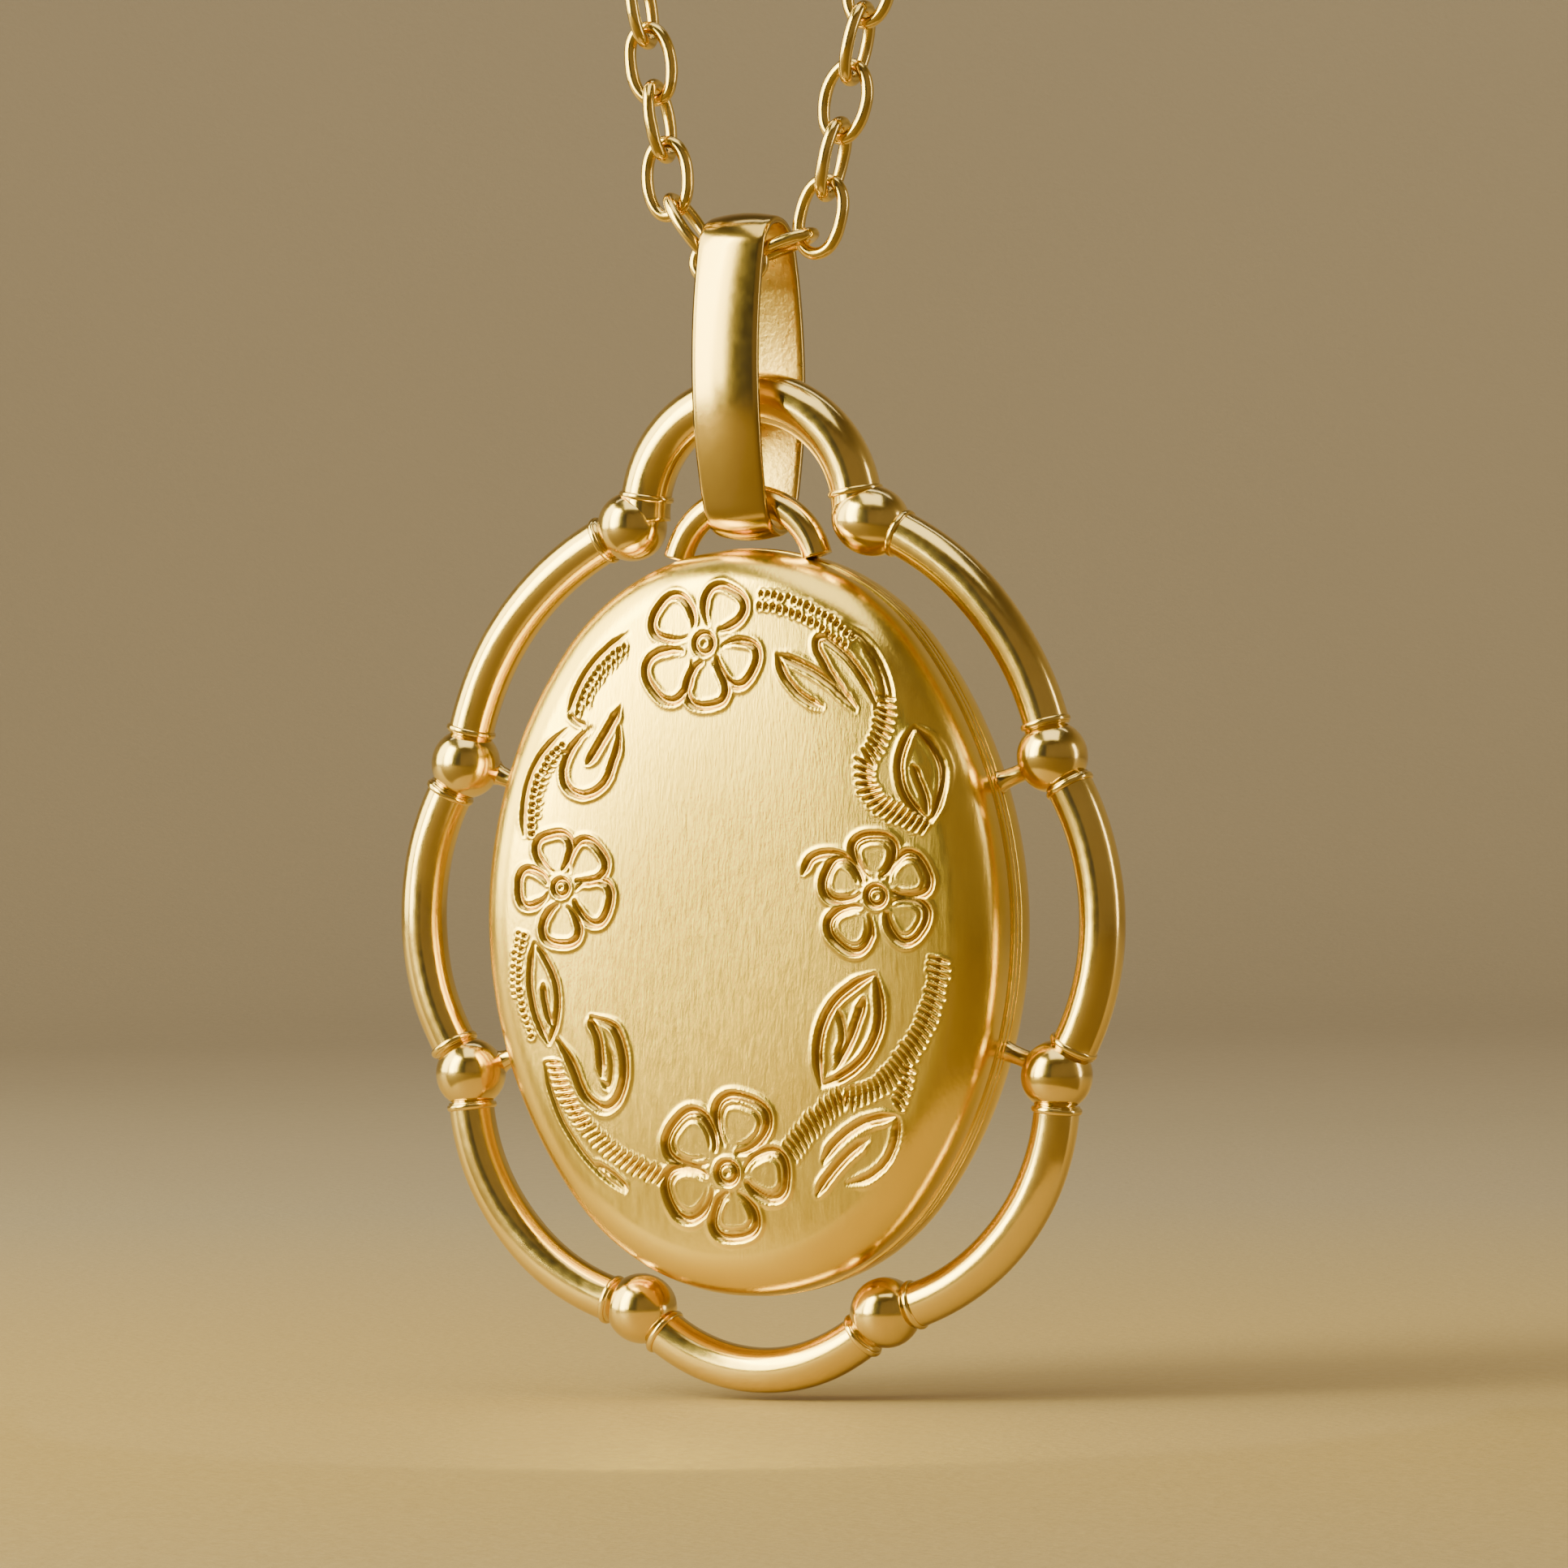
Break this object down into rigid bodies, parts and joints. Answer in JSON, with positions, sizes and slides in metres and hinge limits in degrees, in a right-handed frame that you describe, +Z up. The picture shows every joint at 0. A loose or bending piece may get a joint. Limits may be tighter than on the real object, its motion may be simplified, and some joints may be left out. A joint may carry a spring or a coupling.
{
  "type": "locket",
  "caption": "Oval hinged picture locket in a scalloped tube and bead frame, hung by a tall strap bail on a fine cable chain with a spring ring clasp.",
  "frame": {"origin": "the hanging point, midway between the two ends of the chain, level with the end ring", "axes": "+Z up, -Y out of the front cover, +X to the right seen from the front"},
  "size_m": [0.032, 0.0066, 0.07],
  "materials": {
    "satin_gold": "fine brushed satin with engraving",
    "polished_gold": "high polish",
    "inner_gold": "soft polish",
    "steel_pin": "plain drawn wire",
    "clear_window": "clear sheet",
    "photo_paper": "blank matte card"
  },
  "bodies": {
    "chain": {"chain_middle_link": "polished_gold", "chain_left_strand": "polished_gold", "chain_right_strand": "polished_gold", "clasp_jump_ring": "polished_gold", "clasp_body": "polished_gold", "clasp_spring": "steel_pin", "chain_end_ring": "polished_gold"},
    "clasp_bolt": {"clasp_bolt": "polished_gold"},
    "bail": {"bail": "polished_gold"},
    "locket": {"back_cover": "satin_gold", "back_bezel": "inner_gold", "back_photo_frame": "inner_gold", "back_window": "clear_window", "back_photo": "photo_paper", "back_hinge_knuckles": "polished_gold", "hinge_pin": "steel_pin", "frame_top_arch": "polished_gold", "frame_upper_right_tube": "polished_gold", "frame_right_tube": "polished_gold", "frame_lower_right_tube": "polished_gold", "frame_bottom_tube": "polished_gold", "frame_lower_left_tube": "polished_gold", "frame_left_tube": "polished_gold", "frame_upper_left_tube": "polished_gold", "frame_beads": "polished_gold", "frame_collars": "polished_gold", "frame_lugs": "polished_gold", "locket_ring": "polished_gold"},
    "front_cover": {"front_cover": "satin_gold", "front_bezel": "inner_gold", "front_photo_frame": "inner_gold", "front_window": "clear_window", "front_photo": "photo_paper", "front_hinge_knuckle": "polished_gold"}
  },
  "joints": [
    {"name": "bail_swing", "type": "hinge", "parent": "chain", "child": "bail", "pos_m": [0, 0, -0.01647], "axis": [1, 0, 0], "range_deg": [-90, 90]},
    {"name": "side_swing", "type": "hinge", "parent": "bail", "child": "locket", "pos_m": [0, -0.00035, -0.0292], "axis": [0, 1, 0], "range_deg": [-18, 18]},
    {"name": "cover_hinge", "type": "hinge", "parent": "locket", "child": "front_cover", "pos_m": [-0.01145, 0, -0.043], "axis": [0, 0, -1], "range_deg": [0, 75]},
    {"name": "clasp_bolt_pull", "type": "hinge", "parent": "chain", "child": "clasp_bolt", "pos_m": [-0.00629, 0, 0.00518], "axis": [0, -1, 0], "range_deg": [0, 48], "stiffness_Nm_per_rad": 0.001, "springref_deg": -11.46, "deforming": ["clasp_spring"]}
  ]
}
